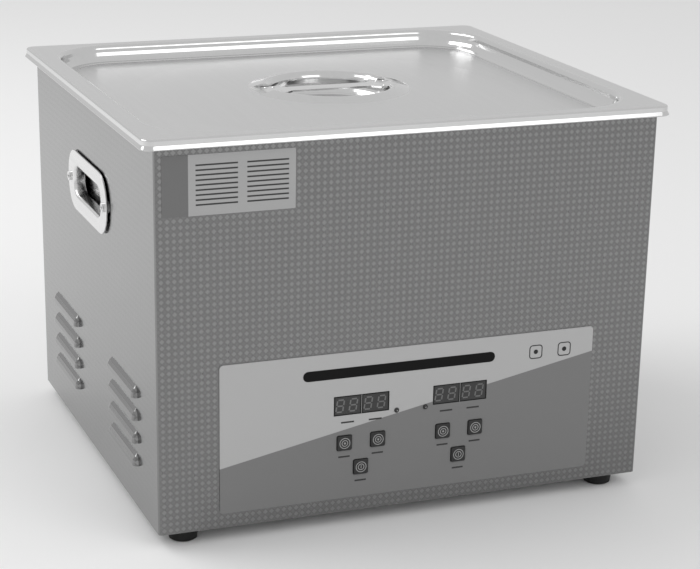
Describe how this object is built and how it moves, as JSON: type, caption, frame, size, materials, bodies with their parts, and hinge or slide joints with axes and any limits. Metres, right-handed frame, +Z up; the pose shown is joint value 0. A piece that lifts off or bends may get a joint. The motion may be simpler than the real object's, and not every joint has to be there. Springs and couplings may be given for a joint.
{
  "type": "ultrasonic cleaner",
  "caption": "Bench-top ultrasonic cleaner with a sheet-steel housing, deep-drawn tank, drop-on lid with a sunken strap handle, side hand holes, louvres and a key panel.",
  "frame": {"origin": "on the bench plane, under the middle of the housing", "axes": "+X to the right as the user faces the control panel, +Y from the control panel to the back, +Z up"},
  "size_m": [0.36, 0.3875, 0.2686],
  "materials": {
    "housing_steel": "satin sheet, finely embossed on the front",
    "lid_steel": "bright satin",
    "strap_steel": "bright satin",
    "tank_steel": "satin",
    "handle_steel": "satin",
    "panel_steel": "satin",
    "screw_steel": "bright",
    "foot_rubber": "matte",
    "seal_silicone": "matte",
    "nitrile": "matte",
    "foil_print": "satin printed foil",
    "window_plastic": "smoked gloss",
    "key_plastic": "satin",
    "label_print": "matt printed label",
    "lamp_plastic": "unlit lens",
    "board_green": "solder mask",
    "pillar_brass": "turned",
    "heater_silicone": "matte",
    "sensor_brass": "turned",
    "cutout_plastic": "moulded",
    "horn_aluminium": "turned",
    "piezo_ceramic": "silvered ceramic",
    "back_steel": "turned steel",
    "black_steel": "black oxide",
    "sink_aluminium": "extruded",
    "transformer_core": "varnished core and winding",
    "capacitor_sleeve": "sleeved",
    "black_plastic": "moulded",
    "rotor_plastic": "moulded",
    "rocker_plastic": "gloss",
    "guard_chrome": "bright wire",
    "pin_brass": "bright",
    "module_plastic": "moulded",
    "tact_plastic": "moulded",
    "drain_steel": "satin",
    "valve_brass": "satin",
    "ball_chrome": "polished",
    "lever_red": "dipped paint",
    "lead_red": "insulation",
    "ribbon_grey": "insulation",
    "lead_brown": "insulation"
  },
  "bodies": {
    "cleaner": {"housing_shell": "housing_steel", "rear_panel": "panel_steel", "base_plate": "panel_steel", "rubber_feet": "foot_rubber", "foot_screws": "screw_steel", "panel_screws": "screw_steel", "tank": "tank_steel", "tank_seal": "seal_silicone", "heater_pads": "heater_silicone", "temperature_sensor": "sensor_brass", "overheat_cutout": "cutout_plastic", "transducer_horns": "horn_aluminium", "piezo_rings": "piezo_ceramic", "transducer_back_masses": "back_steel", "transducer_bolts": "black_steel", "generator_board": "board_green", "board_pillars": "pillar_brass", "heat_sink": "sink_aluminium", "output_transformer": "transformer_core", "power_capacitors": "capacitor_sleeve", "fan_frame": "black_plastic", "fan_guard": "guard_chrome", "power_inlet": "black_plastic", "inlet_pins": "pin_brass", "fuse_holder": "black_plastic", "switch_frame": "black_plastic", "control_board": "board_green", "display_modules": "module_plastic", "indicator_lamps": "lamp_plastic", "key_switches": "tact_plastic", "control_overlay": "foil_print", "display_windows": "window_plastic", "front_label": "label_print", "left_handle": "handle_steel", "right_handle": "handle_steel", "handle_screws": "screw_steel", "drain_fitting": "drain_steel", "drain_seal": "nitrile", "drain_nut": "valve_brass", "drain_pipe": "drain_steel", "valve_body": "valve_brass", "valve_locknuts": "valve_brass", "hose_tail": "valve_brass", "transducer_leads": "lead_red", "control_ribbon": "ribbon_grey", "mains_leads": "lead_brown"},
    "lid": {"lid": "lid_steel", "lid_strap": "strap_steel"},
    "key_heat_up": {"key_heat_up": "key_plastic"},
    "key_heat_down": {"key_heat_down": "key_plastic"},
    "key_heat_run": {"key_heat_run": "key_plastic"},
    "key_time_up": {"key_time_up": "key_plastic"},
    "key_time_down": {"key_time_down": "key_plastic"},
    "key_time_run": {"key_time_run": "key_plastic"},
    "power_rocker": {"power_rocker": "rocker_plastic"},
    "fan_rotor": {"fan_rotor": "rotor_plastic"},
    "drain_valve": {"valve_ball": "ball_chrome", "valve_stem": "valve_brass", "valve_lever": "lever_red"}
  },
  "joints": [
    {"name": "lid_lift", "type": "slide", "parent": "cleaner", "child": "lid", "axis": [0, 0, 1], "range_m": [0, 0.15]},
    {"name": "key_heat_up_press", "type": "slide", "parent": "cleaner", "child": "key_heat_up", "axis": [0, 1, 0], "range_m": [0, 0.0004], "stiffness_N_per_m": 1000, "springref_m": -0.0005},
    {"name": "key_heat_down_press", "type": "slide", "parent": "cleaner", "child": "key_heat_down", "axis": [0, 1, 0], "range_m": [0, 0.0004], "stiffness_N_per_m": 1000, "springref_m": -0.0005},
    {"name": "key_heat_run_press", "type": "slide", "parent": "cleaner", "child": "key_heat_run", "axis": [0, 1, 0], "range_m": [0, 0.0004], "stiffness_N_per_m": 1000, "springref_m": -0.0005},
    {"name": "key_time_up_press", "type": "slide", "parent": "cleaner", "child": "key_time_up", "axis": [0, 1, 0], "range_m": [0, 0.0004], "stiffness_N_per_m": 1000, "springref_m": -0.0005},
    {"name": "key_time_down_press", "type": "slide", "parent": "cleaner", "child": "key_time_down", "axis": [0, 1, 0], "range_m": [0, 0.0004], "stiffness_N_per_m": 1000, "springref_m": -0.0005},
    {"name": "key_time_run_press", "type": "slide", "parent": "cleaner", "child": "key_time_run", "axis": [0, 1, 0], "range_m": [0, 0.0004], "stiffness_N_per_m": 1000, "springref_m": -0.0005},
    {"name": "power_switch", "type": "hinge", "parent": "cleaner", "child": "power_rocker", "pos_m": [-0.125, 0.1555, 0.092], "axis": [-1, 0, 0], "range_deg": [0, 16]},
    {"name": "fan_spin", "type": "hinge", "parent": "cleaner", "child": "fan_rotor", "pos_m": [-0.02, 0.145, 0.062], "axis": [0, 1, 0], "continuous": true},
    {"name": "drain_turn", "type": "hinge", "parent": "cleaner", "child": "drain_valve", "pos_m": [0.11, 0.181, 0.062], "axis": [0, 0, 1], "range_deg": [0, 90]}
  ]
}
